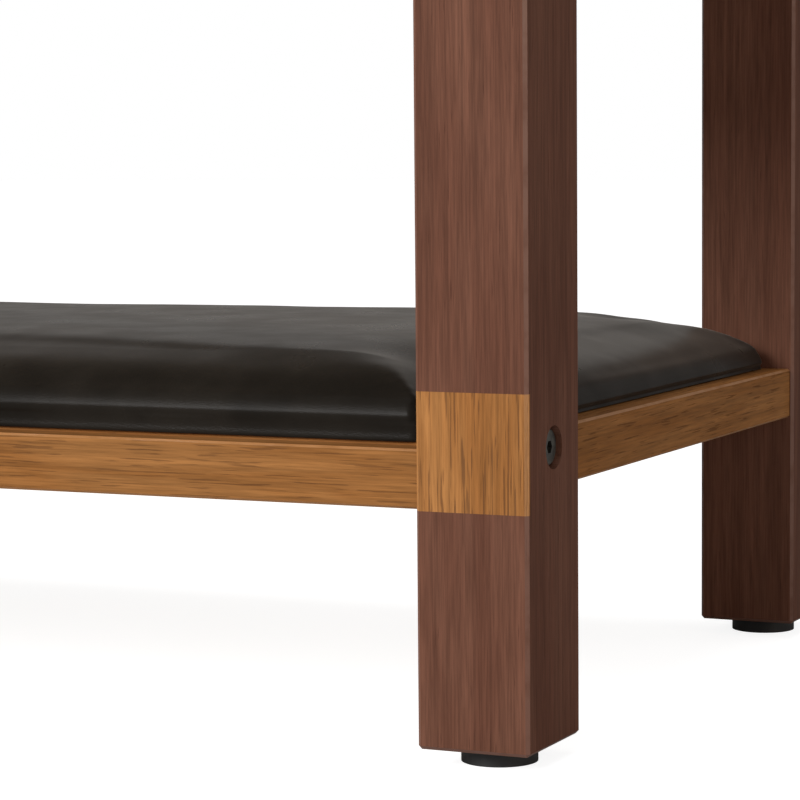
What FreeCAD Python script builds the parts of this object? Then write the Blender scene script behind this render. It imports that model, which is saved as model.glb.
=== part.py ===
"""Three-tier shoe rack: four square-edged posts, three light-wood shelf frames and three upholstered pads.

Frame: +X to the right, +Y to the back, +Z up. The origin is on the floor, under the middle of the rack.
Each shelf frame has a thin front and back rail glued to a bearer, two side rails and two cross slats.
Bearers are pulled to the posts by socket-head connector bolts and barrel nuts. Side rails are dowelled.
A pad is a plywood board with foam and a leather cover. It drops onto the frame and lifts off.
Each post stands on a levelling foot that screws into a threaded insert.
"""

import FreeCAD, Part
import math
import os

V = FreeCAD.Vector
X_AXIS, Y_AXIS, Z_AXIS = V(1, 0, 0), V(0, 1, 0), V(0, 0, 1)

# Overall sizes
RACK_WIDTH = 700.0
RACK_DEPTH = 335.0
POST_TOP = 600.0

# Posts
POST_WIDTH = 40.0
POST_DEPTH = 46.0
ARRIS = 1.2
INLAY_HEIGHT = 39.6
INLAY_THICKNESS = 2.0

# Shelves
TIERS = 3
FIRST_RAIL_BOTTOM = 86.0
TIER_PITCH = 200.0
RAIL_HEIGHT = 20.0
FRONT_RAIL_THICKNESS = 11.0
FRONT_RAIL_SETBACK = 4.0
SEAT_STEP = 6.5
SIDE_RAIL_THICKNESS = 18.0
SIDE_RAIL_INSET = 1.6
BEARER_THICKNESS = 16.0
BEARER_HEIGHT = 15.0
SLAT_WIDTH = 40.0
SLAT_THICKNESS = 14.0
SLAT_OFFSET = 110.0
RAIL_ARRIS = 0.8

# Fasteners
BOLT_DIAMETER = 6.0
BOLT_HEAD_DIAMETER = 13.0
BOLT_HEAD_THICKNESS = 3.0
BOLT_HEAD_CHAMFER = 0.8
BOLT_RECESS = 1.6
BOLT_REACH = 30.0
BOLT_BELOW_SEAT = 6.2
COUNTERBORE_DIAMETER = 14.6
SOCKET_ACROSS_FLATS = 4.0
SOCKET_DEPTH = 2.2
BOLT_CLEARANCE = 0.2
BOLT_END_GAP = 2.0
BARREL_DIAMETER = 10.0
BARREL_LENGTH = 12.0
BARREL_FROM_END = 22.0
BARREL_CLEARANCE = 0.1
BARREL_SLOT_WIDTH = 1.2
BARREL_SLOT_DEPTH = 1.2
THREAD_CLEARANCE = 0.05
DOWEL_DIAMETER = 8.0
DOWEL_LENGTH = 30.0
DOWEL_SPACING = 9.2
DOWEL_END_GAP = 1.0
SCREW_DIAMETER = 4.0
SCREW_LENGTH = 50.0
SCREW_HEAD_DIAMETER = 8.0
SCREW_HEAD_DEPTH = 3.0
SCREW_SPACING = 20.0
SCREW_SUNK = 0.3
HOLE_CLEARANCE = 0.1

# Pads
PAD_FRONT_INSET = 13.0
PAD_SIDE_INSET = 10.5
PAD_POST_GAP = 4.0
PAD_LIP_DROP = 5.4
PAD_EDGE_HEIGHT = 13.0
PAD_EDGE_ROLL = 11.0
PAD_CROWN = 24.0
PAD_LONG_CROWN = 27.0
LEATHER = 1.3
BOARD_THICKNESS = 6.0
BOARD_EDGE_FOAM = 3.5
COVER_TURN_UNDER = 26.0
BATTEN_WIDTH = 24.0
BATTEN_THICKNESS = 9.0
BATTEN_CLEARANCE = 1.0
FIT_GAP = 0.3

# Levelling feet
FOOT_DIAMETER = 26.0
FOOT_HEIGHT = 6.0
FOOT_EDGE = 1.5
STEM_DIAMETER = 8.0
STEM_LENGTH = 26.0
STEM_IN_BASE = 3.0
STEM_BORE_CLEARANCE = 0.5
INSERT_DIAMETER = 12.0
INSERT_LENGTH = 18.0
POST_LIFT = 0.3

# Places worked out from the sizes above
HALF_WIDTH = RACK_WIDTH / 2
HALF_DEPTH = RACK_DEPTH / 2
POST_BOTTOM = FOOT_HEIGHT + POST_LIFT
POST_INNER_X = HALF_WIDTH - POST_WIDTH
POST_INNER_Y = HALF_DEPTH - POST_DEPTH
POST_CENTRE_X = HALF_WIDTH - POST_WIDTH / 2
POST_CENTRE_Y = HALF_DEPTH - POST_DEPTH / 2
RAIL_FACE_Y = HALF_DEPTH - FRONT_RAIL_SETBACK
BEARER_FACE_Y = RAIL_FACE_Y - FRONT_RAIL_THICKNESS
BEARER_BACK_Y = BEARER_FACE_Y - BEARER_THICKNESS
BEARER_MID_Y = BEARER_FACE_Y - BEARER_THICKNESS / 2
SIDE_RAIL_FACE_X = HALF_WIDTH - SIDE_RAIL_INSET
SIDE_RAIL_MID_X = SIDE_RAIL_FACE_X - SIDE_RAIL_THICKNESS / 2
BATTEN_OFFSET = SLAT_OFFSET + SLAT_WIDTH / 2 + BATTEN_CLEARANCE + BATTEN_WIDTH / 2
SIDES = (("left", -1), ("right", 1))
ENDS = (("front", -1), ("back", 1))


def tier_levels(tier):
    """Heights of one tier: bottom of the front rail, and the seat that the pad rests on."""
    bottom = FIRST_RAIL_BOTTOM + (tier - 1) * TIER_PITCH
    return bottom, bottom + RAIL_HEIGHT + SEAT_STEP


def block(x0, x1, y0, y1, z0, z1):
    """A box between two limits on each axis, given in any order."""
    low = V(min(x0, x1), min(y0, y1), min(z0, z1))
    return Part.makeBox(abs(x1 - x0), abs(y1 - y0), abs(z1 - z0), low)


def rod(diameter, length, start, axis):
    return Part.makeCylinder(diameter / 2, length, start, axis)


def along(shape, axis):
    """The straight edges of a shape that run along an axis."""
    found = []
    for edge in shape.Edges:
        ends = edge.Vertexes
        if len(ends) == 2:
            run = ends[1].Point - ends[0].Point
            if run.Length > 1e-6 and abs(abs(run.normalize().dot(axis)) - 1) < 1e-6:
                found.append(edge)
    return found


def eased(shape, axis, size):
    return shape.makeChamfer(size, along(shape, axis))


def rims_at(shape, centre):
    """The round edges of a shape that are centred on a point."""
    return [edge for edge in shape.Edges
            if len(edge.Vertexes) == 1 and edge.CenterOfMass.sub(centre).Length < 1e-6]


def save(name, *shapes):
    """Writes one node's STEP file. Several shapes stay separate solids."""
    solids = [solid for shape in shapes for solid in shape.Solids]
    whole = solids[0] if len(solids) == 1 else Part.makeCompound(solids)
    whole.exportStep(os.path.join("parts", name + ".step"))


# Posts and inlays

def post_blank(side, end):
    """One post before its holes and housings are cut."""
    x_outer, x_inner = side * HALF_WIDTH, side * POST_INNER_X
    y_outer, y_inner = end * HALF_DEPTH, end * POST_INNER_Y
    blank = block(x_outer, x_inner, y_outer, y_inner, POST_BOTTOM, POST_TOP)
    return blank.makeChamfer(ARRIS, blank.Edges)


def inlay_slab(end, tier):
    """The space that one inlay takes out of the outer face of a post, wider than the post."""
    bottom, _ = tier_levels(tier)
    face = end * HALF_DEPTH
    return block(-RACK_WIDTH, RACK_WIDTH, face + end * ARRIS, face - end * INLAY_THICKNESS,
                 bottom, bottom + INLAY_HEIGHT)


def bolt_line(side, end, tier):
    """Where a connector bolt's axis meets the outer face of its post."""
    _, seat = tier_levels(tier)
    return V(side * HALF_WIDTH, end * BEARER_MID_Y, seat - BOLT_BELOW_SEAT)


def bolt_holes(side, end, tier):
    mouth = bolt_line(side, end, tier)
    inward = X_AXIS * -side
    head_seat = BOLT_RECESS + BOLT_HEAD_THICKNESS
    counterbore = rod(COUNTERBORE_DIAMETER, head_seat, mouth, inward)
    through = rod(BOLT_DIAMETER + 2 * BOLT_CLEARANCE, POST_WIDTH, mouth, inward)
    return [counterbore, through]


def dowel_places(side, tier):
    """Start points of the dowels that join one side rail to the front and back posts."""
    _, seat = tier_levels(tier)
    middle = seat - RAIL_HEIGHT / 2
    return [
        V(side * SIDE_RAIL_MID_X, end * POST_INNER_Y, middle + up * DOWEL_SPACING / 2)
        for end in (-1, 1)
        for up in (-1, 1)
    ]


def dowel_hole(place, toward):
    depth = DOWEL_LENGTH / 2 + DOWEL_END_GAP
    return rod(DOWEL_DIAMETER + 2 * HOLE_CLEARANCE, depth, place, Y_AXIS * toward)


def make_post(side, end):
    post = post_blank(side, end)
    for tier in range(1, TIERS + 1):
        post = post.cut(inlay_slab(end, tier))
        for hole in bolt_holes(side, end, tier):
            post = post.cut(hole)
        for place in dowel_places(side, tier):
            if place.y * end > 0:
                post = post.cut(dowel_hole(place, end))
    insert_hole = V(side * POST_CENTRE_X, end * POST_CENTRE_Y, POST_BOTTOM)
    room = STEM_LENGTH - STEM_IN_BASE + FIT_GAP
    post = post.cut(rod(INSERT_DIAMETER + 2 * HOLE_CLEARANCE, INSERT_LENGTH, insert_hole, Z_AXIS))
    return post.cut(rod(STEM_DIAMETER + 2 * STEM_BORE_CLEARANCE, room, insert_hole, Z_AXIS))


def make_inlays(side, end):
    blank = post_blank(side, end)
    return [blank.common(inlay_slab(end, tier)) for tier in range(1, TIERS + 1)]


# Shelf frames

def make_front_rail(end, tier):
    bottom, _ = tier_levels(tier)
    rail = block(-POST_INNER_X, POST_INNER_X, end * RAIL_FACE_Y, end * BEARER_FACE_Y,
                 bottom, bottom + RAIL_HEIGHT)
    outer = [edge for edge in along(rail, X_AXIS) if abs(edge.CenterOfMass.y) > BEARER_FACE_Y + 1]
    return rail.makeChamfer(RAIL_ARRIS, outer)


def make_side_rail(side, tier):
    _, seat = tier_levels(tier)
    inner = SIDE_RAIL_FACE_X - SIDE_RAIL_THICKNESS
    rail = block(side * SIDE_RAIL_FACE_X, side * inner, -POST_INNER_Y, POST_INNER_Y,
                 seat - RAIL_HEIGHT, seat)
    rail = eased(rail, Y_AXIS, RAIL_ARRIS)
    for place in dowel_places(side, tier):
        rail = rail.cut(dowel_hole(place, -1 if place.y > 0 else 1))
    return rail


def barrel_centre(side, end, tier):
    line = bolt_line(side, end, tier)
    return V(side * (POST_INNER_X - BARREL_FROM_END), line.y, line.z)


def make_bearer(end, tier):
    """The bar behind a front or back rail, bored for its bolts, barrel nuts and slat screws."""
    _, seat = tier_levels(tier)
    low = seat - BEARER_HEIGHT
    bar = block(-POST_INNER_X, POST_INNER_X, end * BEARER_FACE_Y, end * BEARER_BACK_Y, low, seat)
    for _, side in SIDES:
        line = bolt_line(side, end, tier)
        mouth = V(side * POST_INNER_X, line.y, line.z)
        bar = bar.cut(rod(BOLT_DIAMETER + 2 * BOLT_CLEARANCE, BOLT_REACH + BOLT_END_GAP, mouth, X_AXIS * -side))
        centre = barrel_centre(side, end, tier)
        top = centre.z + BARREL_LENGTH / 2 + BARREL_CLEARANCE
        foot = V(centre.x, centre.y, low)
        bar = bar.cut(rod(BARREL_DIAMETER + 2 * BARREL_CLEARANCE, top - low, foot, Z_AXIS))
    for place in screw_places(end, tier):
        bar = bar.cut(screw_body(place, end, HOLE_CLEARANCE))
    return bar


def slat_limits(tier):
    _, seat = tier_levels(tier)
    return seat - SLAT_THICKNESS, seat


def screw_places(end, tier):
    """Where the slat screws enter the outer face of a bearer."""
    low, high = slat_limits(tier)
    return [
        V(slat * SLAT_OFFSET + across * SCREW_SPACING / 2, end * (BEARER_FACE_Y - SCREW_SUNK),
          (low + high) / 2)
        for slat in (-1, 1)
        for across in (-1, 1)
    ]


def screw_body(place, end, grow):
    """A countersunk wood screw, or with grow above 0 the hole for it."""
    inward = Y_AXIS * -end
    shank = rod(SCREW_DIAMETER + 2 * grow, SCREW_LENGTH + grow, place, inward)
    head = Part.makeCone(SCREW_HEAD_DIAMETER / 2 + grow, SCREW_DIAMETER / 2 + grow,
                         SCREW_HEAD_DEPTH, place, inward)
    body = shank.fuse(head)
    if grow:
        body = body.fuse(rod(SCREW_HEAD_DIAMETER + 2 * grow, SCREW_SUNK + 1, place, -inward))
    return body


def make_slats(tier):
    low, high = slat_limits(tier)
    slats = []
    for slat in (-1, 1):
        middle = slat * SLAT_OFFSET
        bar = block(middle - SLAT_WIDTH / 2, middle + SLAT_WIDTH / 2,
                    -BEARER_BACK_Y, BEARER_BACK_Y, low, high)
        bar = eased(bar, Y_AXIS, RAIL_ARRIS)
        for _, end in ENDS:
            for place in screw_places(end, tier):
                if place.x * slat > 0:
                    bar = bar.cut(screw_body(place, end, HOLE_CLEARANCE))
        slats.append(bar)
    return slats


# Fasteners

def hex_prism(across_flats, length, start, axis):
    corner = across_flats / math.sqrt(3)
    side = axis.cross(Z_AXIS)
    turns = [math.radians(60 * n) for n in range(7)]
    ring = [start + side * corner * math.cos(turn) + Z_AXIS * corner * math.sin(turn) for turn in turns]
    return Part.Face(Part.makePolygon(ring)).extrude(axis * length)


def make_bolt(side, end, tier):
    mouth = bolt_line(side, end, tier)
    inward = X_AXIS * -side
    top = mouth + inward * BOLT_RECESS
    head = rod(BOLT_HEAD_DIAMETER, BOLT_HEAD_THICKNESS, top, inward)
    head = head.makeChamfer(BOLT_HEAD_CHAMFER, rims_at(head, top))
    under = top + inward * BOLT_HEAD_THICKNESS
    shank = rod(BOLT_DIAMETER, POST_WIDTH - BOLT_RECESS - BOLT_HEAD_THICKNESS + BOLT_REACH, under, inward)
    return head.fuse(shank).cut(hex_prism(SOCKET_ACROSS_FLATS, SOCKET_DEPTH, top, inward))


def make_barrel_nut(side, end, tier):
    centre = barrel_centre(side, end, tier)
    body = rod(BARREL_DIAMETER, BARREL_LENGTH, centre - Z_AXIS * BARREL_LENGTH / 2, Z_AXIS)
    bore = rod(BOLT_DIAMETER + 2 * THREAD_CLEARANCE, 2 * BARREL_DIAMETER,
               centre - X_AXIS * BARREL_DIAMETER, X_AXIS)
    low = centre.z - BARREL_LENGTH / 2
    slot = block(centre.x - BARREL_DIAMETER, centre.x + BARREL_DIAMETER,
                 centre.y - BARREL_SLOT_WIDTH / 2, centre.y + BARREL_SLOT_WIDTH / 2, low, low + BARREL_SLOT_DEPTH)
    return body.cut(bore).cut(slot)


def make_dowels():
    half = DOWEL_LENGTH / 2
    return [
        rod(DOWEL_DIAMETER, DOWEL_LENGTH, place - Y_AXIS * half, Y_AXIS)
        for tier in range(1, TIERS + 1)
        for _, side in SIDES
        for place in dowel_places(side, tier)
    ]


# Pads

def pad_section(half_span, crown_height, seat, shrink):
    """An upright section with a flat bottom, quarter-round edges and a crowned top, centred on the origin.

    shrink takes the outline in by the leather's thickness, to give the foam inside it.
    """
    edge = half_span - shrink
    low = seat + shrink if shrink else seat - PAD_LIP_DROP
    roll = min(PAD_EDGE_ROLL, PAD_EDGE_HEIGHT - FIT_GAP - LEATHER) - shrink
    shoulder = seat + PAD_EDGE_HEIGHT - shrink
    waist = shoulder - roll
    turn = roll * (1 - math.sqrt(0.5))
    crown = V(0, 0, seat + crown_height - shrink)

    def corner(side):
        return [V(side * edge, 0, low), V(side * edge, 0, waist), V(side * (edge - turn), 0, shoulder - turn),
                V(side * (edge - roll), 0, shoulder)]

    right, left = corner(1), corner(-1)
    outline = [
        Part.LineSegment(left[0], right[0]).toShape(),
        Part.LineSegment(right[0], right[1]).toShape(),
        Part.Arc(right[1], right[2], right[3]).toShape(),
        Part.Arc(right[3], crown, left[3]).toShape(),
        Part.Arc(left[3], left[2], left[1]).toShape(),
        Part.LineSegment(left[1], left[0]).toShape(),
    ]
    return Part.Face(Part.Wire(outline))


def pad_body(seat, shrink):
    """The pad's outer solid, with its corners notched round the posts.

    It is crowned both ways. The long crown is the higher one, so that the short one makes the middle of the top.
    """
    half_x = HALF_WIDTH - PAD_SIDE_INSET
    half_y = HALF_DEPTH - PAD_FRONT_INSET
    long_way = pad_section(half_x, PAD_LONG_CROWN, seat, shrink)
    long_way.translate(Y_AXIS * -RACK_DEPTH)
    cross = pad_section(half_y, PAD_CROWN, seat, shrink)
    cross.rotate(V(0, 0, 0), Z_AXIS, 90)
    cross.translate(X_AXIS * -RACK_WIDTH)
    body = long_way.extrude(Y_AXIS * 2 * RACK_DEPTH).common(cross.extrude(X_AXIS * 2 * RACK_WIDTH))
    return notch_corners(body, PAD_POST_GAP + shrink, seat - RAIL_HEIGHT, seat + 2 * PAD_CROWN)


def seat_clearance(seat):
    """What the pad leaves free for the frame: everything inboard of the bearers' outer faces, up to the pad."""
    deep = BEARER_FACE_Y + FIT_GAP
    return block(-RACK_WIDTH, RACK_WIDTH, -deep, deep, seat - RAIL_HEIGHT, seat + FIT_GAP)


def notch_corners(shape, gap, low, high):
    """Takes the post corners, grown by a gap, out of a pad's piece."""
    for _, side in SIDES:
        for _, end in ENDS:
            shape = shape.cut(block(side * (POST_INNER_X - gap), side * RACK_WIDTH,
                                    end * (POST_INNER_Y - gap), end * RACK_DEPTH, low, high))
    return shape


def notched_plate(inset, low, high):
    """A flat plate with the pad's outline, set in from its edge and notched round the posts."""
    half_x = HALF_WIDTH - PAD_SIDE_INSET - inset
    half_y = HALF_DEPTH - PAD_FRONT_INSET - inset
    plate = block(-half_x, half_x, -half_y, half_y, low, high)
    return notch_corners(plate, PAD_POST_GAP + inset, low, high)


def make_pad(tier):
    """Cover, foam, board and battens of one pad."""
    _, seat = tier_levels(tier)
    under = seat + FIT_GAP
    board_low = under + LEATHER
    board = notched_plate(BOARD_EDGE_FOAM + LEATHER, board_low, board_low + BOARD_THICKNESS)
    inner = pad_body(seat, LEATHER).cut(block(-RACK_WIDTH, RACK_WIDTH, -RACK_DEPTH, RACK_DEPTH,
                                              seat - RAIL_HEIGHT, board_low))
    window = notched_plate(COVER_TURN_UNDER, under, board_low)
    cover = pad_body(seat, 0).cut(seat_clearance(seat)).cut(inner).cut(window)
    foam = inner.cut(board)
    length = HALF_DEPTH - PAD_FRONT_INSET - COVER_TURN_UNDER - BATTEN_CLEARANCE
    battens = []
    for place in (-1, 1):
        middle = place * BATTEN_OFFSET
        batten = block(middle - BATTEN_WIDTH / 2, middle + BATTEN_WIDTH / 2, -length, length,
                       board_low - BATTEN_THICKNESS, board_low)
        battens.append(eased(batten, Y_AXIS, RAIL_ARRIS))
    return cover, foam, board, battens


# Levelling feet

def make_foot_base(centre):
    base = rod(FOOT_DIAMETER, FOOT_HEIGHT, centre, Z_AXIS)
    base = base.makeChamfer(FOOT_EDGE, rims_at(base, centre + Z_AXIS * FOOT_HEIGHT))
    socket = rod(STEM_DIAMETER, STEM_IN_BASE, centre + Z_AXIS * (FOOT_HEIGHT - STEM_IN_BASE), Z_AXIS)
    return base.cut(socket)


def make_foot_stem(centre):
    return rod(STEM_DIAMETER, STEM_LENGTH, centre + Z_AXIS * (FOOT_HEIGHT - STEM_IN_BASE), Z_AXIS)


def make_insert(centre):
    start = V(centre.x, centre.y, POST_BOTTOM)
    sleeve = rod(INSERT_DIAMETER, INSERT_LENGTH, start, Z_AXIS)
    bore = rod(STEM_DIAMETER + 2 * THREAD_CLEARANCE, INSERT_LENGTH, start, Z_AXIS)
    return sleeve.cut(bore)


def build():
    os.makedirs("parts", exist_ok=True)
    for end_name, end in ENDS:
        for side_name, side in SIDES:
            place = f"{end_name}_{side_name}"
            save(f"{place}_post", make_post(side, end))
            save(f"{place}_inlays", *make_inlays(side, end))
            centre = V(side * POST_CENTRE_X, end * POST_CENTRE_Y, 0)
            save(f"{place}_foot_base", make_foot_base(centre))
            save(f"{place}_foot_stem", make_foot_stem(centre))
    save("foot_inserts", *[make_insert(V(side * POST_CENTRE_X, end * POST_CENTRE_Y, 0))
                           for _, end in ENDS for _, side in SIDES])
    save("side_rail_dowels", *make_dowels())
    for tier in range(1, TIERS + 1):
        corners = [(side, end, tier) for _, end in ENDS for _, side in SIDES]
        for end_name, end in ENDS:
            save(f"{end_name}_rail_{tier}", make_front_rail(end, tier))
            save(f"{end_name}_bearer_{tier}", make_bearer(end, tier))
        for side_name, side in SIDES:
            save(f"{side_name}_rail_{tier}", make_side_rail(side, tier))
        save(f"cross_slats_{tier}", *make_slats(tier))
        save(f"slat_screws_{tier}", *[screw_body(place, end, 0)
                                      for _, end in ENDS for place in screw_places(end, tier)])
        save(f"connector_bolts_{tier}", *[make_bolt(*corner) for corner in corners])
        save(f"barrel_nuts_{tier}", *[make_barrel_nut(*corner) for corner in corners])
        cover, foam, board, battens = make_pad(tier)
        save(f"pad_cover_{tier}", cover)
        save(f"pad_foam_{tier}", foam)
        save(f"pad_board_{tier}", board)
        save(f"pad_battens_{tier}", *battens)


build()
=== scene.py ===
"""Looks of the shoe rack: oiled posts and rails, light inlays, leather pads, dark bolts and studio light."""

import math

import bpy
import numpy as np
from mathutils import Matrix, Vector, noise


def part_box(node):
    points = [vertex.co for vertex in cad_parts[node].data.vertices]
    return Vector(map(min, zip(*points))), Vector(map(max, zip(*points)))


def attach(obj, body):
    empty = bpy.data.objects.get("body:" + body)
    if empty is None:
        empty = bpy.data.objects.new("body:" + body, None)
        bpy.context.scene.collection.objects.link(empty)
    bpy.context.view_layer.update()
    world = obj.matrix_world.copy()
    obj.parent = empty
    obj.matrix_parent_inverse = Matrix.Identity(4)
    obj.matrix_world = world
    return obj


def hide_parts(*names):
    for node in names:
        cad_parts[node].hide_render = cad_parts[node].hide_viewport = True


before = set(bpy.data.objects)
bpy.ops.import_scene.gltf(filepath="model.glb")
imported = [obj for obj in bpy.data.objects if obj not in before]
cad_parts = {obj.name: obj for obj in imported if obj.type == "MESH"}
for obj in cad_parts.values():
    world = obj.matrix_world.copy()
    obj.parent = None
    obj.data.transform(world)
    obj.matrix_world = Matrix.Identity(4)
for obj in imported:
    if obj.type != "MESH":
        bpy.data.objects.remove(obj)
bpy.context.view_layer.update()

TIERS = (1, 2, 3)
SIDES = ("left", "right")
ENDS = ("front", "back")

# Pads, in metres
EDGE_TOP = 0.0030
EDGE_START = 0.0006
CROWN_RISE = 0.0245
CROWN_REACH = 0.0120
CROWN_POWER = 0.66
LIP_DROP = 0.0054
LIP_THICKNESS = 0.0017
SEAT_GAP = 0.0003
TURN_UNDER = 0.024
POST_GAP = 0.0040
CORNER_ROUND = 0.0045
CLOTH_FRAMES = 20
CLOTH_PRESSURE = 4.0
SWELL_LIMIT = 0.0010
HELD_BELOW = 0.010

# Grid of a pad's top: distances in from an edge, the line just past the notch, and the wide spacing
EDGE_STEPS = (0.0, 0.0006, 0.0016, 0.0032, 0.0055, 0.0085, 0.0125, 0.0175, 0.0240)
NOTCH_CLEAR = 0.006
NOTCH_LINE = 0.3
GRID_ALONG = 0.014
GRID_ACROSS = 0.013

# Rings below the rim: inset, how far from the notch it still pulls, share of the drop, hangs over the rail
LIP_BAND = 0.003
EDGE_RINGS = (
    (-0.0007, 0.001, 0.30, True),
    (-0.0010, 0.001, 0.60, True),
    (-0.0005, 0.001, 0.85, True),
    (0.0005, 0.001, 1.00, True),
    (LIP_THICKNESS, 0.012, 1.00, True),
    (LIP_THICKNESS * 1.1, 0.012, 1.00, False),
    (TURN_UNDER * 0.5, 0.012, 1.00, False),
    (TURN_UNDER, TURN_UNDER, 1.00, False),
)

# Pleats round a corner: angle in degrees and share of the depth, then sizes in metres
PLEATS = ((20.0, 0.7), (45.0, 1.0), (68.0, 0.75))
PLEAT_DEPTH = 0.0006
PLEAT_WIDTH = 0.0012
PLEAT_NEAREST = 0.0015
PLEAT_FARTHEST = 0.030
PLEAT_CENTRE = 0.008
PLEAT_FADE = 0.007
PLEAT_SPREAD = 60.0

# Unevenness of the leather: cycles per metre, height in metres, and the step from pad to pad
SLOW_WAVE = (14.0, 0.00045, 7.3)
FINE_WAVE = (45.0, 0.00012, 3.1)
SMOOTH_UNDER = 0.001

# Staples under a pad, in metres
STAPLE_SPACING = 0.028
STAPLE_CROWN = 0.010
STAPLE_WIRE = 0.0008
STAPLE_INSET = 0.0195
STAPLE_END_GAP = 0.006
STAPLE_SUNK = 0.3
STAPLE_CUTS = 6

# Studio
FLOOR_REACH = 12.0
FLOOR_GLOW = 0.87
FILL_STRENGTH = 0.28
WHITE = (1.0, 1.0, 1.0, 1.0)
FLOOR_GREY = (0.50, 0.50, 0.50, 1.0)

# Camera, in metres and degrees
CAMERA_PLACE = (0.7107, -1.0499, 0.2086)
CAMERA_YAW = 24.707
CAMERA_DOWN = 5.062
CAMERA_ROLL = -0.468
CAMERA_LENS = 133.28
SENSOR_WIDTH = 36.0


# Node helpers

def socket_value(node, name, value):
    node.inputs[name].default_value = value


def math_node(tree, operation, first, second=None, clamp=False):
    node = tree.nodes.new("ShaderNodeMath")
    node.operation = operation
    node.use_clamp = clamp
    for place, value in enumerate((first, second)):
        if value is None:
            continue
        if isinstance(value, (int, float)):
            node.inputs[place].default_value = value
        else:
            tree.links.new(value, node.inputs[place])
    return node.outputs[0]


def remap(tree, value, low, high, to_low=0.0, to_high=1.0):
    """A smooth step of a value, from one range to another."""
    node = tree.nodes.new("ShaderNodeMapRange")
    node.interpolation_type = "SMOOTHSTEP"
    tree.links.new(value, node.inputs["Value"])
    for name, number in (("From Min", low), ("From Max", high), ("To Min", to_low), ("To Max", to_high)):
        if isinstance(number, (int, float)):
            socket_value(node, name, number)
        else:
            tree.links.new(number, node.inputs[name])
    return node.outputs["Result"]


def mix_colour(tree, factor, first, second, blend="MIX"):
    node = tree.nodes.new("ShaderNodeMix")
    node.data_type = "RGBA"
    node.blend_type = blend
    for place, value in ((0, factor), (6, first), (7, second)):
        if isinstance(value, (int, float)):
            node.inputs[place].default_value = value
        elif isinstance(value, tuple):
            node.inputs[place].default_value = (*value, 1.0)
        else:
            tree.links.new(value, node.inputs[place])
    return node.outputs[2]


def stretched(tree, vector, scale):
    node = tree.nodes.new("ShaderNodeMapping")
    tree.links.new(vector, node.inputs["Vector"])
    socket_value(node, "Scale", scale)
    return node.outputs["Vector"]


def noise_of(tree, vector, scale, detail=3.0, roughness=0.55, distortion=0.0):
    node = tree.nodes.new("ShaderNodeTexNoise")
    tree.links.new(vector, node.inputs["Vector"])
    socket_value(node, "Scale", scale)
    socket_value(node, "Detail", detail)
    socket_value(node, "Roughness", roughness)
    socket_value(node, "Distortion", distortion)
    return node.outputs["Fac"]


def new_group(name, inputs, outputs):
    """A shader node group with named sockets. Returns the tree, its input sockets and its output node."""
    tree = bpy.data.node_groups.new(name, "ShaderNodeTree")
    for label, kind, default in inputs:
        made = tree.interface.new_socket(label, in_out="INPUT", socket_type=kind)
        if default is not None:
            made.default_value = default
    for label, kind in outputs:
        tree.interface.new_socket(label, in_out="OUTPUT", socket_type=kind)
    entry = tree.nodes.new("NodeGroupInput")
    leave = tree.nodes.new("NodeGroupOutput")
    return tree, entry.outputs, leave.inputs


# Shared effects

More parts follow.
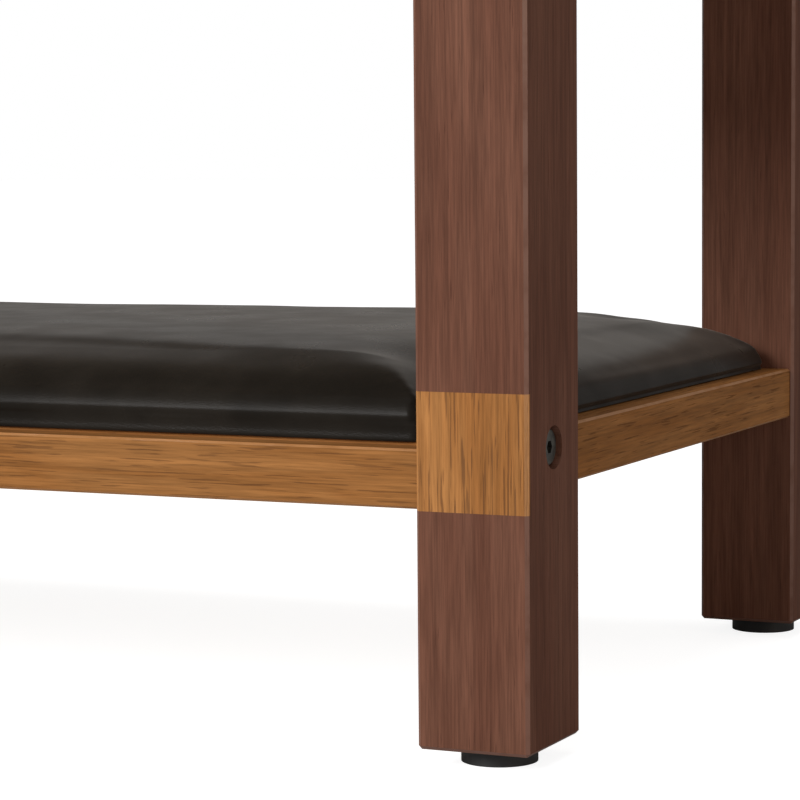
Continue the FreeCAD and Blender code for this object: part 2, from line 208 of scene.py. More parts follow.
def build_wood_grain():
    """Long-grained wood with its grain along Z: slow figure, fine fibres and short dark pores."""
    tree, given, out = new_group(
        "Wood grain",
        [("Vector", "NodeSocketVector", None), ("Light", "NodeSocketColor", (0.5, 0.3, 0.2, 1)),
         ("Dark", "NodeSocketColor", (0.3, 0.15, 0.1, 1)),
         ("Pore Colour", "NodeSocketColor", (0.1, 0.05, 0.03, 1)),
         ("Figure Size", "NodeSocketFloat", 0.012), ("Pore Cover", "NodeSocketFloat", 0.3),
         ("Pore Strength", "NodeSocketFloat", 0.7), ("Roughness", "NodeSocketFloat", 0.5)],
        [("Color", "NodeSocketColor"), ("Roughness", "NodeSocketFloat"), ("Height", "NodeSocketFloat")])
    vector = given["Vector"]
    figure_scale = math_node(tree, "DIVIDE", 1.0, given["Figure Size"])
    figure = tree.nodes.new("ShaderNodeTexNoise")
    tree.links.new(stretched(tree, vector, (1, 1, 0.11)), figure.inputs["Vector"])
    tree.links.new(figure_scale, figure.inputs["Scale"])
    socket_value(figure, "Detail", 4.0)
    socket_value(figure, "Distortion", 0.7)
    bands = remap(tree, figure.outputs["Fac"], 0.34, 0.66)
    fibres = noise_of(tree, stretched(tree, vector, (1, 1, 0.035)), 1500.0, 3.0, 0.6)
    streaks = noise_of(tree, stretched(tree, vector, (1, 1, 0.02)), 420.0, 2.0, 0.5, 0.3)
    pore_field = noise_of(tree, stretched(tree, vector, (1, 1, 0.04)), 1350.0, 2.0, 0.5)
    patch = noise_of(tree, stretched(tree, vector, (1, 1, 0.3)), 130.0, 2.0)
    spread = math_node(tree, "MULTIPLY", math_node(tree, "SUBTRACT", patch, 0.5), 0.12)
    start = math_node(tree, "SUBTRACT", math_node(tree, "SUBTRACT", 0.735, spread),
                      math_node(tree, "MULTIPLY", given["Pore Cover"], 0.3))
    pores = remap(tree, pore_field, start, math_node(tree, "ADD", start, 0.09))
    colour = mix_colour(tree, bands, given["Dark"], given["Light"])
    shade = remap(tree, streaks, 0.3, 0.7, 0.86, 1.1)
    fine = remap(tree, fibres, 0.25, 0.75, 0.80, 1.16)
    value = math_node(tree, "MULTIPLY", shade, fine)
    tint = tree.nodes.new("ShaderNodeCombineColor")
    for channel in ("Red", "Green", "Blue"):
        tree.links.new(value, tint.inputs[channel])
    colour = mix_colour(tree, 1.0, colour, tint.outputs["Color"], "MULTIPLY")
    cover = math_node(tree, "MULTIPLY", pores, given["Pore Strength"])
    colour = mix_colour(tree, cover, colour, given["Pore Colour"])
    tree.links.new(colour, out["Color"])
    rough = math_node(tree, "ADD", given["Roughness"],
                      math_node(tree, "MULTIPLY", math_node(tree, "SUBTRACT", fibres, 0.5), 0.14))
    rough = math_node(tree, "ADD", rough, math_node(tree, "MULTIPLY", pores, 0.18), clamp=True)
    tree.links.new(rough, out["Roughness"])
    height = math_node(tree, "SUBTRACT", math_node(tree, "MULTIPLY", fibres, 0.35), pores)
    tree.links.new(height, out["Height"])
    return tree


def build_arris():
    """A mask for the narrow slanted faces along a squared piece's edges, broken up by a noise; it carries a
    painted highlight and a smoother, shinier finish.
    """
    tree, given, out = new_group(
        "Arris mask", [("Vector", "NodeSocketVector", None)], [("Mask", "NodeSocketFloat")])
    surface = tree.nodes.new("ShaderNodeNewGeometry")
    straight = tree.nodes.new("ShaderNodeVectorMath")
    straight.operation = "ABSOLUTE"
    tree.links.new(surface.outputs["True Normal"], straight.inputs[0])
    split = tree.nodes.new("ShaderNodeSeparateXYZ")
    tree.links.new(straight.outputs[0], split.inputs[0])
    widest = math_node(tree, "MAXIMUM", split.outputs["X"], split.outputs["Y"])
    widest = math_node(tree, "MAXIMUM", widest, split.outputs["Z"])
    slanted = remap(tree, widest, 0.74, 0.92, 1.0, 0.0)
    # The noise makes the painted edge highlight and the smoother finish patchy.
    patchy_highlight_and_burnish = remap(tree, noise_of(tree, given["Vector"], 90.0, 3.0), 0.25, 0.6, 0.45, 1.0)
    tree.links.new(math_node(tree, "MULTIPLY", slanted, patchy_highlight_and_burnish), out["Mask"])
    return tree


def build_leather_grain():
    """Pebbled grain for the height, and a slow field for where the leather is rubbed."""
    tree, given, out = new_group(
        "Leather grain",
        [("Vector", "NodeSocketVector", None), ("Cell Size", "NodeSocketFloat", 0.0011)],
        [("Height", "NodeSocketFloat"), ("Wear", "NodeSocketFloat")])
    scale = math_node(tree, "DIVIDE", 1.0, given["Cell Size"])
    bent = tree.nodes.new("ShaderNodeTexNoise")
    tree.links.new(given["Vector"], bent.inputs["Vector"])
    socket_value(bent, "Scale", 240.0)
    shift = tree.nodes.new("ShaderNodeVectorMath")
    shift.operation = "MULTIPLY_ADD"
    tree.links.new(bent.outputs["Color"], shift.inputs[0])
    shift.inputs[1].default_value = (0.0012, 0.0012, 0.0012)
    tree.links.new(given["Vector"], shift.inputs[2])
    cells = tree.nodes.new("ShaderNodeTexVoronoi")
    cells.feature = "DISTANCE_TO_EDGE"
    tree.links.new(shift.outputs[0], cells.inputs["Vector"])
    tree.links.new(scale, cells.inputs["Scale"])
    pebbles = remap(tree, cells.outputs["Distance"], 0.0, 0.22)
    fine = noise_of(tree, given["Vector"], 2600.0, 2.0)
    slow = noise_of(tree, given["Vector"], 36.0, 3.0)
    tree.links.new(math_node(tree, "ADD", pebbles, math_node(tree, "MULTIPLY", fine, 0.4)), out["Height"])
    tree.links.new(slow, out["Wear"])
    return tree


def build_brushed():
    """Fine scratches and slow tarnish on bare metal."""
    tree, given, out = new_group(
        "Brushed metal",
        [("Vector", "NodeSocketVector", None), ("Light", "NodeSocketColor", (0.6, 0.6, 0.6, 1)),
         ("Dark", "NodeSocketColor", (0.3, 0.3, 0.3, 1)), ("Roughness", "NodeSocketFloat", 0.35)],
        [("Color", "NodeSocketColor"), ("Roughness", "NodeSocketFloat"), ("Height", "NodeSocketFloat")])
    tarnish = noise_of(tree, given["Vector"], 380.0, 4.0)
    scratches = noise_of(tree, stretched(tree, given["Vector"], (1, 1, 0.08)), 5200.0, 2.0)
    colour = mix_colour(tree, remap(tree, tarnish, 0.35, 0.65), given["Dark"], given["Light"])
    tree.links.new(colour, out["Color"])
    spread = math_node(tree, "MULTIPLY", math_node(tree, "SUBTRACT", tarnish, 0.5), 0.35)
    tree.links.new(math_node(tree, "ADD", given["Roughness"], spread, clamp=True), out["Roughness"])
    tree.links.new(scratches, out["Height"])
    return tree


WOOD_GRAIN = build_wood_grain()
ARRIS = build_arris()
LEATHER_GRAIN = build_leather_grain()
BRUSHED = build_brushed()


# Materials

def new_material(name):
    material = bpy.data.materials.new(name)
    material.use_nodes = True
    tree = material.node_tree
    return material, tree, tree.nodes["Principled BSDF"]


def object_vector(tree, turn=(0.0, 0.0, 0.0), shift=(0.0, 0.0, 0.0)):
    """Object coordinates, moved and then turned so that a pattern's Z follows a piece's length."""
    source = tree.nodes.new("ShaderNodeTexCoord")
    moved = tree.nodes.new("ShaderNodeMapping")
    tree.links.new(source.outputs["Object"], moved.inputs["Vector"])
    socket_value(moved, "Location", shift)
    socket_value(moved, "Rotation", turn)
    return moved.outputs["Vector"]


def place_group(tree, group, vector, **values):
    node = tree.nodes.new("ShaderNodeGroup")
    node.node_tree = group
    tree.links.new(vector, node.inputs["Vector"])
    for name, value in values.items():
        label = name.replace("_", " ")
        node.inputs[label].default_value = (*value, 1.0) if isinstance(value, tuple) else value
    return node


def add_bump(tree, shader, height, distance, strength=1.0):
    bump = tree.nodes.new("ShaderNodeBump")
    socket_value(bump, "Distance", distance)
    socket_value(bump, "Strength", strength)
    tree.links.new(height, bump.inputs["Height"])
    tree.links.new(bump.outputs["Normal"], shader.inputs["Normal"])


# Painted highlight: the first value lightens the colour on the arris faces; the other two make those faces
# smoother and shinier.
ARRIS_PAINTED_LIFT = 1.2
ARRIS_SHINE = 0.45
ARRIS_SMOOTHER = 0.25
GRAIN_ALONG = {
    "X": (0.0, math.radians(-90), 0.0),
    "Y": (math.radians(90), 0.0, 0.0),
    "Z": (0.0, 0.0, 0.0),
}


def wood(name, along, light, dark, pore, figure, cover, strength, rough=0.60, sheen=0.05, shift=0.0):
    """An oiled or bare wood, with its grain along one axis."""
    material, tree, shader = new_material(name)
    vector = object_vector(tree, GRAIN_ALONG[along], (shift, shift, shift))
    grain = place_group(tree, WOOD_GRAIN, vector, Light=light, Dark=dark, Pore_Colour=pore,
                        Figure_Size=figure, Pore_Cover=cover, Pore_Strength=strength, Roughness=rough)
    patchy_highlight_and_burnish = place_group(tree, ARRIS, vector)
    # Painted highlight: the arris faces get a lighter tone than the wood, as if the chamfers caught the
    # light.
    painted_edge_highlight = tuple(min(1.0, channel * ARRIS_PAINTED_LIFT) for channel in light)
    colour = mix_colour(tree, patchy_highlight_and_burnish.outputs["Mask"], grain.outputs["Color"], painted_edge_highlight)
    tree.links.new(colour, shader.inputs["Base Color"])
    smoother = math_node(tree, "MULTIPLY", patchy_highlight_and_burnish.outputs["Mask"], ARRIS_SMOOTHER)
    worn = math_node(tree, "SUBTRACT", grain.outputs["Roughness"], smoother)
    tree.links.new(worn, shader.inputs["Roughness"])
    shine = math_node(tree, "MULTIPLY", patchy_highlight_and_burnish.outputs["Mask"], ARRIS_SHINE)
    tree.links.new(math_node(tree, "ADD", shine, sheen), shader.inputs["Specular IOR Level"])
    add_bump(tree, shader, grain.outputs["Height"], 0.00012, 0.6)
    return material


def leather():
    material, tree, shader = new_material("Black leather")
    vector = object_vector(tree)
    grain = place_group(tree, LEATHER_GRAIN, vector)
    worn = remap(tree, grain.outputs["Wear"], 0.35, 0.7)
    colour = mix_colour(tree, worn, (0.011, 0.009, 0.007), (0.017, 0.014, 0.011))
    tree.links.new(colour, shader.inputs["Base Color"])
    tree.links.new(remap(tree, grain.outputs["Wear"], 0.3, 0.7, 0.34, 0.27), shader.inputs["Roughness"])
    socket_value(shader, "Specular IOR Level", 0.05)
    socket_value(shader, "Sheen Weight", 0.14)
    socket_value(shader, "Sheen Roughness", 0.35)
    socket_value(shader, "Sheen Tint", (1.0, 0.88, 0.76, 1.0))
    add_bump(tree, shader, grain.outputs["Height"], 0.00004, 0.4)
    return material


def metal(name, light, dark, rough):
    material, tree, shader = new_material(name)
    surface = place_group(tree, BRUSHED, object_vector(tree), Light=light, Dark=dark, Roughness=rough)
    tree.links.new(surface.outputs["Color"], shader.inputs["Base Color"])
    tree.links.new(surface.outputs["Roughness"], shader.inputs["Roughness"])
    socket_value(shader, "Metallic", 1.0)
    add_bump(tree, shader, surface.outputs["Height"], 0.00003, 0.5)
    return material


def threaded_steel():
    """Zinc-plated steel with the fine ridges of a thread, and painted shade in its grooves."""
    material, tree, shader = new_material("Threaded steel")
    vector = object_vector(tree)
    surface = place_group(tree, BRUSHED, vector,
                          Light=(0.62, 0.61, 0.58), Dark=(0.42, 0.41, 0.38), Roughness=0.38)
    ridges = tree.nodes.new("ShaderNodeTexWave")
    ridges.bands_direction = "Z"
    tree.links.new(vector, ridges.inputs["Vector"])
    socket_value(ridges, "Scale", 250.0)
    tree.links.new(surface.outputs["Roughness"], shader.inputs["Roughness"])
    # Painted shade: the thread's grooves get a dark colour, standing for the shade in them.
    painted_groove_shade = remap(tree, ridges.outputs["Fac"], 0.0, 0.6)
    colour = mix_colour(tree, painted_groove_shade, (0.16, 0.15, 0.14), surface.outputs["Color"])
    tree.links.new(colour, shader.inputs["Base Color"])
    socket_value(shader, "Metallic", 1.0)
    add_bump(tree, shader, ridges.outputs["Fac"], 0.0004)
    return material


def plywood():
    """Pale plies, with darker glue lines along the board's edge."""
    material, tree, shader = new_material("Plywood")
    vector = object_vector(tree, GRAIN_ALONG["X"])
    grain = place_group(tree, WOOD_GRAIN, vector, Light=(0.60, 0.45, 0.28), Dark=(0.50, 0.36, 0.21),
                        Pore_Colour=(0.32, 0.20, 0.11), Figure_Size=0.03, Pore_Cover=0.15, Roughness=0.65)
    plies = tree.nodes.new("ShaderNodeTexWave")
    plies.bands_direction = "Z"
    tree.links.new(object_vector(tree), plies.inputs["Vector"])
    socket_value(plies, "Scale", 210.0)
    edge = tree.nodes.new("ShaderNodeNewGeometry")
    split = tree.nodes.new("ShaderNodeSeparateXYZ")
    tree.links.new(edge.outputs["Normal"], split.inputs[0])
    upright = math_node(tree, "ABSOLUTE", split.outputs["Z"])
    on_edge = remap(tree, upright, 0.3, 0.7, 1.0, 0.0)
    line = math_node(tree, "MULTIPLY", on_edge, remap(tree, plies.outputs["Fac"], 0.5, 0.9, 0.0, 0.6))
    colour = mix_colour(tree, line, grain.outputs["Color"], (0.24, 0.14, 0.07))
    tree.links.new(colour, shader.inputs["Base Color"])
    tree.links.new(grain.outputs["Roughness"], shader.inputs["Roughness"])
    add_bump(tree, shader, grain.outputs["Height"], 0.0001, 0.5)
    return material


def moulded_plastic():
    material, tree, shader = new_material("Moulded plastic")
    vector = object_vector(tree)
    spark = noise_of(tree, vector, 2400.0, 3.0)
    slow = noise_of(tree, vector, 160.0, 3.0)
    colour = mix_colour(tree, slow, (0.020, 0.020, 0.021), (0.036, 0.035, 0.034))
    tree.links.new(colour, shader.inputs["Base Color"])
    tree.links.new(remap(tree, slow, 0.3, 0.7, 0.48, 0.62), shader.inputs["Roughness"])
    add_bump(tree, shader, spark, 0.00006, 0.6)
    return material


WALNUT = {"light": (0.158, 0.068, 0.043), "dark": (0.124, 0.050, 0.031), "pore": (0.060, 0.025, 0.017)}
TEAK = {"light": (0.325, 0.142, 0.044), "dark": (0.260, 0.104, 0.028), "pore": (0.085, 0.036, 0.016)}
INLAY = {"light": (0.385, 0.170, 0.054), "dark": (0.310, 0.126, 0.036), "pore": (0.085, 0.038, 0.020)}
PALE = {"light": (0.600, 0.430, 0.250), "dark": (0.500, 0.330, 0.170), "pore": (0.300, 0.180, 0.090)}

MATERIALS = {
    "post": wood("Post walnut", "Z", **WALNUT, figure=0.016, cover=0.22, strength=0.55),
    "inlay": wood("Inlay teak", "Z", **INLAY, figure=0.009, cover=0.55, strength=0.55,
                  rough=0.52, shift=0.31),
    "rail": wood("Rail teak", "X", **TEAK, figure=0.010, cover=0.50, strength=0.50),
    "side_rail": wood("Side rail teak", "Y", **TEAK, figure=0.011, cover=0.50, strength=0.55, shift=0.17),
    "bearer": wood("Bearer teak", "X", **TEAK, figure=0.014, cover=0.34, strength=0.75, shift=0.43),
    "slat": wood("Slat beech", "Y", **PALE, figure=0.014, cover=0.2, strength=0.5, rough=0.65),
    "dowel": wood("Dowel beech", "Y", **PALE, figure=0.006, cover=0.1, strength=0.4, rough=0.7),
    "plywood": plywood(),
    "leather": leather(),
    "bolt": metal("Dark bolt steel", (0.150, 0.145, 0.125), (0.085, 0.080, 0.070), 0.45),
    "nut": metal("Zinc nut", (0.66, 0.65, 0.62), (0.45, 0.44, 0.42), 0.34),
    "screw": metal("Zinc screw", (0.62, 0.57, 0.42), (0.42, 0.38, 0.27), 0.36),
    "insert": metal("Brass insert", (0.72, 0.52, 0.22), (0.50, 0.34, 0.13), 0.34),
    "staple": metal("Staple wire", (0.70, 0.69, 0.67), (0.50, 0.49, 0.47), 0.30),
    "stem": threaded_steel(),
    "plastic": moulded_plastic(),
}


# The finish of each kept CAD node

def finish_node(node, material):
    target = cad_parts[node].data
    target.materials.clear()
    target.materials.append(MATERIALS[material])
    for polygon in target.polygons:
        polygon.material_index = 0


def finish_nodes():
    for end in ENDS:
        for side in SIDES:
            corner = f"{end}_{side}"
            finish_node(f"{corner}_post", "post")
            finish_node(f"{corner}_inlays", "inlay")
            finish_node(f"{corner}_foot_base", "plastic")
            finish_node(f"{corner}_foot_stem", "stem")
    finish_node("foot_inserts", "insert")
    finish_node("side_rail_dowels", "dowel")
    for tier in TIERS:
        for end in ENDS:
            finish_node(f"{end}_rail_{tier}", "rail")
            finish_node(f"{end}_bearer_{tier}", "bearer")
        for side in SIDES:
            finish_node(f"{side}_rail_{tier}", "side_rail")
        finish_node(f"cross_slats_{tier}", "slat")
        finish_node(f"slat_screws_{tier}", "screw")
        finish_node(f"connector_bolts_{tier}", "bolt")
        finish_node(f"barrel_nuts_{tier}", "nut")
        finish_node(f"pad_board_{tier}", "plywood")
        finish_node(f"pad_battens_{tier}", "slat")


# Leather pads

def pad_outline():
    """Half sizes of the pad: long and short spans, and the notches' inner corners."""
    _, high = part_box("pad_cover_1")
    _, post_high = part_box("front_left_post")
    notch_x = -post_high.x - POST_GAP
    notch_y = -post_high.y - POST_GAP
    return high.x, high.y, notch_x, notch_y


def seat_of(tier):
    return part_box(f"{SIDES[0]}_rail_{tier}")[1].z


def spaced(span, notch, coarse):
    """Grid lines from -span to span: close together at both edges and at the notch, wider in the middle."""
    lines = {round(span - step, 6) for step in EDGE_STEPS if span - step > notch + NOTCH_CLEAR}
    lines |= {round(notch - step, 6) for step in EDGE_STEPS}
    lines.add(round(notch + NOTCH_CLEAR * NOTCH_LINE, 6))
    inner = notch - EDGE_STEPS[-1]
    count = max(2, round(inner / coarse))
    lines |= {round(inner * step / count, 6) for step in range(count)}
    return sorted({-line for line in lines} | lines)


def edge_distance(x, y, outline):
    """How far a point of the plus-shaped outline lies from its edge."""
    span_x, span_y, notch_x, notch_y = outline
    x, y = abs(x), abs(y)
    if x <= notch_x and y <= notch_y:
        corner = math.hypot(notch_x - x, notch_y - y)
        return min(span_x - x, span_y - y, corner)
    if x > notch_x:
        return min(span_x - x, notch_y - y)
    return min(span_y - y, notch_x - x)


def pad_height(distance):
    """Height of the top above the seat: steep at the edge, then a crown that rises and levels off."""
    start = math.exp(-(EDGE_START / CROWN_REACH) ** CROWN_POWER)
    level = math.exp(-((distance + EDGE_START) / CROWN_REACH) ** CROWN_POWER)
    return EDGE_TOP + CROWN_RISE * (start - level)


def round_corners(x, y, outline):
    """Pulls the pad's eight outward corners in to a round."""
    span_x, span_y, notch_x, notch_y = outline
    for corner_x, corner_y in ((span_x, notch_y), (notch_x, span_y)):
        across = abs(x) - (corner_x - CORNER_ROUND)
        along = abs(y) - (corner_y - CORNER_ROUND)
        if across > 0 and along > 0:
            reach = math.hypot(across, along)
            limit = max(across, along)
            across *= limit / reach
            along *= limit / reach
            x = math.copysign(corner_x - CORNER_ROUND + across, x)
            y = math.copysign(corner_y - CORNER_ROUND + along, y)
    return x, y


def pad_top(outline):
    """Points and faces of the crowned top, on a grid that leaves out the four notches."""
    span_x, span_y, notch_x, notch_y = outline
    columns = spaced(span_x, notch_x, GRID_ALONG)
    rows = spaced(span_y, notch_y, GRID_ACROSS)
    vertices, faces, index = [], [], {}

    def vertex(column, row):
        key = (column, row)
        if key not in index:
            x, y = columns[column], rows[row]
            height = pad_height(max(0.0, edge_distance(x, y, outline)))
            x, y = round_corners(x, y, outline)
            index[key] = len(vertices)
            vertices.append((x, y, height))
        return index[key]

    for column in range(len(columns) - 1):
        for row in range(len(rows) - 1):
            middle_x = (columns[column] + columns[column + 1]) / 2
            middle_y = (rows[row] + rows[row + 1]) / 2
            if abs(middle_x) > notch_x and abs(middle_y) > notch_y:
                continue
            corners = ((column, row), (column + 1, row), (column + 1, row + 1), (column, row + 1))
            faces.append(tuple(vertex(*corner) for corner in corners))
    return vertices, faces


def rim_of(faces):
    """The points round the open edge of some faces, in order."""
    edges = {}
    for face in faces:
        for first, second in zip(face, face[1:] + face[:1]):
            edges[(first, second)] = True
    onward = {first: second for first, second in edges if (second, first) not in edges}
    start = next(iter(onward))
    rim = [start]
    while onward[rim[-1]] != start:
        rim.append(onward[rim[-1]])
    return rim


def pad_mesh(name):
    """The pad as one sheet: crowned top, side walls, a lip front and back, and an edge turned under."""
    outline = pad_outline()
    _, span_y, notch_x, notch_y = outline
    vertices, faces = pad_top(outline)
    rim = rim_of(faces)
    rings = [rim]
    for inset, reach, share, hangs in EDGE_RINGS:
        ring = []
        for point in rim:
            x, y, top = vertices[point]
            over_rail = abs(y) > span_y - LIP_THICKNESS - LIP_BAND
            low = -LIP_DROP if hangs and over_rail else SEAT_GAP
            pull_x = math.copysign(inset, x) if abs(x) > notch_x - reach else 0.0
            pull_y = math.copysign(inset, y) if abs(y) > notch_y - reach else 0.0
            ring.append(len(vertices))
            vertices.append((x - pull_x, y - pull_y, top + (low - top) * share))
        rings.append(ring)
    for upper, lower in zip(rings, rings[1:]):
        for place in range(len(rim)):
            following = (place + 1) % len(rim)
            faces.append((upper[following], upper[place], lower[place], lower[following]))
    mesh = bpy.data.meshes.new(name)
    mesh.from_pydata(vertices, [], faces)
    mesh.update()
    held = [point for point, place in enumerate(vertices) if place[2] < HELD_BELOW]
    return mesh, held


def swell(pad, held):
    """Cloth with a little pressure, held round its edge and underside. How far a point moves is capped."""
    before = np.array([vertex.co for vertex in pad.data.vertices])
    pins = pad.vertex_groups.new(name="Held")
    pins.add(held, 1.0, "ADD")
    cloth = pad.modifiers.new("Cloth", "CLOTH")
    settings = cloth.settings
    settings.quality = 6
    settings.mass = 0.4
    settings.tension_stiffness = 30.0
    settings.compression_stiffness = 30.0
    settings.bending_stiffness = 2.0
    settings.use_pressure = True
    settings.uniform_pressure_force = CLOTH_PRESSURE
    settings.vertex_group_mass = "Held"
    settings.effector_weights.gravity = 0.0
    scene = bpy.context.scene
    for step in range(1, CLOTH_FRAMES + 1):
        scene.frame_set(step)
    solved = pad.evaluated_get(bpy.context.evaluated_depsgraph_get()).to_mesh()
    after = np.array([vertex.co for vertex in solved.vertices])
    pad.modifiers.remove(cloth)
    scene.frame_set(1)
    move = after - before
    length = np.linalg.norm(move, axis=1, keepdims=True)
    move *= np.minimum(1.0, SWELL_LIMIT / np.maximum(length, 1e-9))
    for vertex, place in zip(pad.data.vertices, before + move):
        vertex.co = place


def pleat_depth(x, y, outline):
    """How deep the folded leather dips at a point near one of the pad's outward corners."""
    span_x, span_y, notch_x, notch_y = outline
    depth = 0.0
    for corner_x, corner_y in ((span_x, notch_y), (notch_x, span_y)):
        away_x = corner_x - CORNER_ROUND - abs(x)
        away_y = corner_y - CORNER_ROUND - abs(y)
        reach = math.hypot(away_x, away_y)
        if reach > PLEAT_FARTHEST or reach < PLEAT_NEAREST:
            continue
        angle = math.degrees(math.atan2(-away_y, -away_x))
        fade = math.exp(-((reach - PLEAT_CENTRE) / PLEAT_FADE) ** 2)
        for fold, share in PLEATS:
            across = reach * math.sin(math.radians(angle - fold))
            if abs(angle - fold) < PLEAT_SPREAD:
                depth += share * fade * math.exp(-(across / PLEAT_WIDTH) ** 2)
    return depth * PLEAT_DEPTH


def wave_at(point, wave, seed):
    cycles, height, step = wave
    return height * noise.noise(Vector((point.x * cycles, point.y * cycles, seed * step)))


def add_relief(pad, seed):
    """Pleats at the corners and slow unevenness over the top, different on each pad."""
    outline = pad_outline()
    pad.data.update()
    normals = [vertex.normal.copy() for vertex in pad.data.vertices]
    for vertex, normal in zip(pad.data.vertices, normals):
        if vertex.co.z < SMOOTH_UNDER:
            continue
        dip = pleat_depth(vertex.co.x, vertex.co.y, outline)
        wave = wave_at(vertex.co, SLOW_WAVE, seed) + wave_at(vertex.co, FINE_WAVE, seed)
        vertex.co -= normal * (dip - wave)


def make_pads():
    mesh, held = pad_mesh("Pad shape")
    shape = bpy.data.objects.new("Pad shape", mesh)
    bpy.context.collection.objects.link(shape)
    swell(shape, held)
    for tier in TIERS:
        pad = bpy.data.objects.new(f"leather_pad_{tier}", shape.data.copy())
        bpy.context.collection.objects.link(pad)
        smooth = pad.modifiers.new("Smooth", "SUBSURF")
        smooth.levels = 2
        smooth.render_levels = 2
        fine = bpy.data.meshes.new_from_object(pad.evaluated_get(bpy.context.evaluated_depsgraph_get()))
        pad.modifiers.clear()
        pad.data = fine
        add_relief(pad, tier)
        fine.transform(Matrix.Translation((0.0, 0.0, seat_of(tier))))
        fine.shade_smooth()
        fine.materials.clear()
        fine.materials.append(MATERIALS["leather"])
        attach(pad, f"pad_{tier}")
        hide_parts(f"pad_cover_{tier}", f"pad_foam_{tier}")
    bpy.data.objects.remove(shape)


# Staples, placed by Geometry Nodes along the turned-under edge

def staple_tree():
    """Wire staples set at even spacing along a curve, each lying along it."""
    tree = bpy.data.node_groups.new("Staples along a line", "GeometryNodeTree")
    face = tree.interface
    face.new_socket("Geometry", in_out="INPUT", socket_type="NodeSocketGeometry")
    for label in ("Spacing", "Crown", "Wire"):
        face.new_socket(label, in_out="INPUT", socket_type="NodeSocketFloat")
    face.new_socket("Material", in_out="INPUT", socket_type="NodeSocketMaterial")
    face.new_socket("Geometry", in_out="OUTPUT", socket_type="NodeSocketGeometry")
    nodes, link = tree.nodes, tree.links.new
    entry = nodes.new("NodeGroupInput")
    resample = nodes.new("GeometryNodeResampleCurve")
    resample.mode = "LENGTH"
    link(entry.outputs["Geometry"], resample.inputs["Curve"])
    link(entry.outputs["Spacing"], resample.inputs["Length"])
    size = nodes.new("ShaderNodeCombineXYZ")
    link(entry.outputs["Crown"], size.inputs["X"])
    link(entry.outputs["Wire"], size.inputs["Y"])
    link(entry.outputs["Wire"], size.inputs["Z"])
    staple = nodes.new("GeometryNodeMeshCube")
    for axis, count in (("Vertices X", STAPLE_CUTS), ("Vertices Y", 2), ("Vertices Z", 2)):
        staple.inputs[axis].default_value = count
    link(size.outputs[0], staple.inputs["Size"])
    place = nodes.new("GeometryNodeInstanceOnPoints")
    link(resample.outputs[0], place.inputs["Points"])
    link(staple.outputs["Mesh"], place.inputs["Instance"])
    tangent = nodes.new("GeometryNodeInputTangent")
    align = nodes.new("FunctionNodeAlignRotationToVector")
    align.axis = "X"
    align.pivot_axis = "Z"
    link(tangent.outputs[0], align.inputs["Vector"])
    link(align.outputs[0], place.inputs["Rotation"])
    real = nodes.new("GeometryNodeRealizeInstances")
    link(place.outputs[0], real.inputs[0])
    paint = nodes.new("GeometryNodeSetMaterial")
    link(real.outputs[0], paint.inputs["Geometry"])
    link(entry.outputs["Material"], paint.inputs["Material"])
    leave = nodes.new("NodeGroupOutput")
    link(paint.outputs[0], leave.inputs[0])
    return tree


def run_tree(carrier, tree, values):
    """Runs a tree on a carrier, its inputs set by identifier, and returns the plain mesh that it makes."""
    modifier = carrier.modifiers.new("Build", "NODES")
    modifier.node_group = tree
    for item in tree.interface.items_tree:
        if item.item_type == "SOCKET" and item.in_out == "INPUT" and item.name in values:
            modifier[item.identifier] = values[item.name]
    made = bpy.data.meshes.new_from_object(carrier.evaluated_get(bpy.context.evaluated_depsgraph_get()))
    carrier.modifiers.clear()
    return made


def make_staples(tree, tier):
    """Staples along the pad's four sides, on the leather that is turned under its board."""
    span_x, span_y, notch_x, notch_y = pad_outline()
    level = seat_of(tier) + SEAT_GAP - STAPLE_WIRE * STAPLE_SUNK
    side_x, side_y = span_x - STAPLE_INSET, span_y - STAPLE_INSET
    reach_x = notch_x - STAPLE_INSET - STAPLE_END_GAP
    reach_y = notch_y - STAPLE_INSET - STAPLE_END_GAP
    rows = [((-reach_x, sign * side_y), (reach_x, sign * side_y)) for sign in (-1, 1)]
    rows += [((sign * side_x, -reach_y), (sign * side_x, reach_y)) for sign in (-1, 1)]
    line = bpy.data.curves.new(f"Staple rows {tier}", "CURVE")
    line.dimensions = "3D"
    for row in rows:
        spline = line.splines.new("POLY")
        spline.points.add(1)
        for point, (x, y) in zip(spline.points, row):
            point.co = (x, y, level, 1.0)
    carrier = bpy.data.objects.new(f"Staple rows {tier}", line)
    bpy.context.collection.objects.link(carrier)
    values = {"Spacing": STAPLE_SPACING, "Crown": STAPLE_CROWN, "Wire": STAPLE_WIRE,
              "Material": MATERIALS["staple"]}
    made = run_tree(carrier, tree, values)
    bpy.data.objects.remove(carrier)
    staples = bpy.data.objects.new(f"pad_staples_{tier}", made)
    bpy.context.collection.objects.link(staples)
    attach(staples, f"pad_{tier}")


# Studio

def make_floor():
    """A grey floor for the light that bounces, seen as plain white."""
    material, tree, shader = new_material("White sweep")
    socket_value(shader, "Base Color", FLOOR_GREY)
    socket_value(shader, "Roughness", 0.9)
    path = tree.nodes.new("ShaderNodeLightPath")
    direct = math_node(tree, "MAXIMUM", path.outputs["Is Camera Ray"], path.outputs["Is Transmission Ray"])
    socket_value(shader, "Emission Color", WHITE)
    tree.links.new(math_node(tree, "MULTIPLY", direct, FLOOR_GLOW), shader.inputs["Emission Strength"])
    mesh = bpy.data.meshes.new("studio_floor")
    corners = [(x * FLOOR_REACH, y * FLOOR_REACH, 0) for x, y in ((-1, -1), (1, -1), (1, 1), (-1, 1))]
    mesh.from_pydata(corners, [], [(0, 1, 2, 3)])
    mesh.materials.append(material)
    floor = bpy.data.objects.new("studio_floor", mesh)
    bpy.context.collection.objects.link(floor)


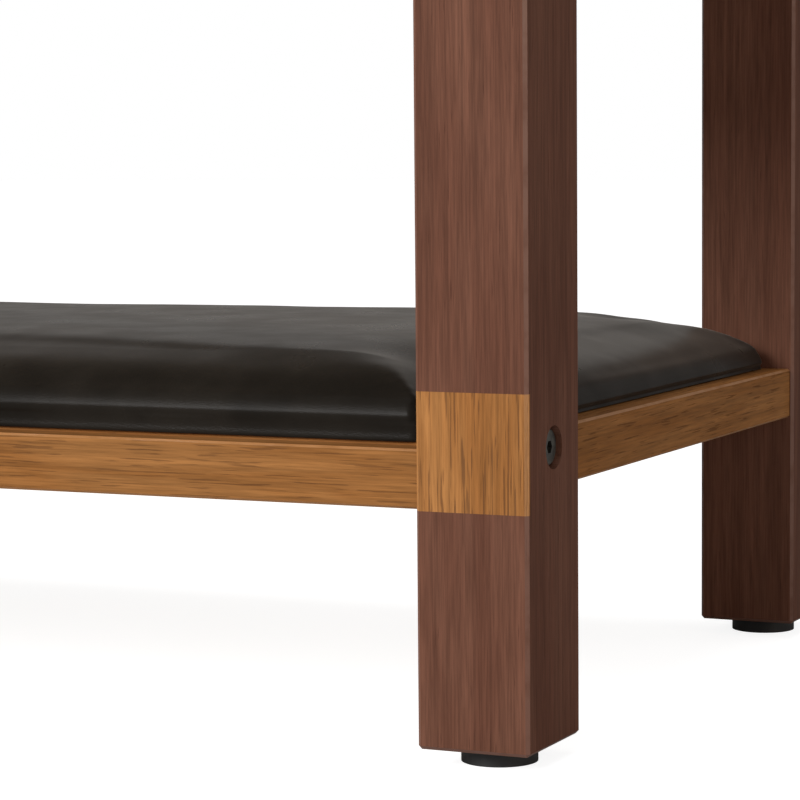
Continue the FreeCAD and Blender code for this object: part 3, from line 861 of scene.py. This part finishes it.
def make_world():
    """Even grey fill for the object and its reflections, and plain white where the camera looks past it."""
    world = bpy.data.worlds.new("Studio")
    bpy.context.scene.world = world
    world.use_nodes = True
    tree = world.node_tree
    fill = tree.nodes["Background"]
    fill.inputs["Color"].default_value = WHITE
    fill.inputs["Strength"].default_value = FILL_STRENGTH
    white = tree.nodes.new("ShaderNodeBackground")
    white.inputs["Color"].default_value = WHITE
    white.inputs["Strength"].default_value = 1.0
    path = tree.nodes.new("ShaderNodeLightPath")
    direct = math_node(tree, "MAXIMUM", path.outputs["Is Camera Ray"], path.outputs["Is Transmission Ray"])
    blend = tree.nodes.new("ShaderNodeMixShader")
    tree.links.new(direct, blend.inputs[0])
    tree.links.new(fill.outputs[0], blend.inputs[1])
    tree.links.new(white.outputs[0], blend.inputs[2])
    tree.links.new(blend.outputs[0], tree.nodes["World Output"].inputs["Surface"])


def area_light(name, place, target, size, power, colour=(1.0, 1.0, 1.0)):
    data = bpy.data.lights.new(name, "AREA")
    data.shape = "RECTANGLE"
    data.size, data.size_y = size
    data.energy = power
    data.color = colour
    lamp = bpy.data.objects.new(name, data)
    bpy.context.collection.objects.link(lamp)
    lamp.location = place
    lamp.rotation_euler = (Vector(target) - Vector(place)).to_track_quat("-Z", "Y").to_euler()


def make_lights():
    area_light("Key", (-0.9, -2.6, 1.5), (0.2, 0.0, 0.2), (1.5, 1.3), 88.0)
    area_light("Top", (0.0, 0.3, 2.6), (0.0, 0.0, 0.3), (2.2, 1.6), 20.0)
    area_light("Rim", (2.4, 1.2, 1.4), (0.2, 0.0, 0.3), (1.2, 1.2), 3.0)
    area_light("Side", (2.6, -1.2, 0.7), (0.33, -0.15, 0.2), (0.7, 1.2), 8.0, (1.0, 0.86, 0.72))


def make_camera():
    data = bpy.data.cameras.new("Camera")
    data.sensor_width = SENSOR_WIDTH
    data.lens = CAMERA_LENS
    data.clip_start = 0.05
    data.clip_end = 60.0
    camera = bpy.data.objects.new("Camera", data)
    bpy.context.collection.objects.link(camera)
    turn = (Matrix.Rotation(math.radians(CAMERA_YAW), 4, "Z")
            @ Matrix.Rotation(math.radians(90.0 - CAMERA_DOWN), 4, "X")
            @ Matrix.Rotation(math.radians(CAMERA_ROLL), 4, "Z"))
    camera.matrix_world = Matrix.Translation(CAMERA_PLACE) @ turn
    bpy.context.scene.camera = camera


bpy.context.scene.view_settings.view_transform = "Standard"
finish_nodes()
make_pads()
STAPLES = staple_tree()
for number in TIERS:
    make_staples(STAPLES, number)
make_floor()
make_world()
make_lights()
make_camera()
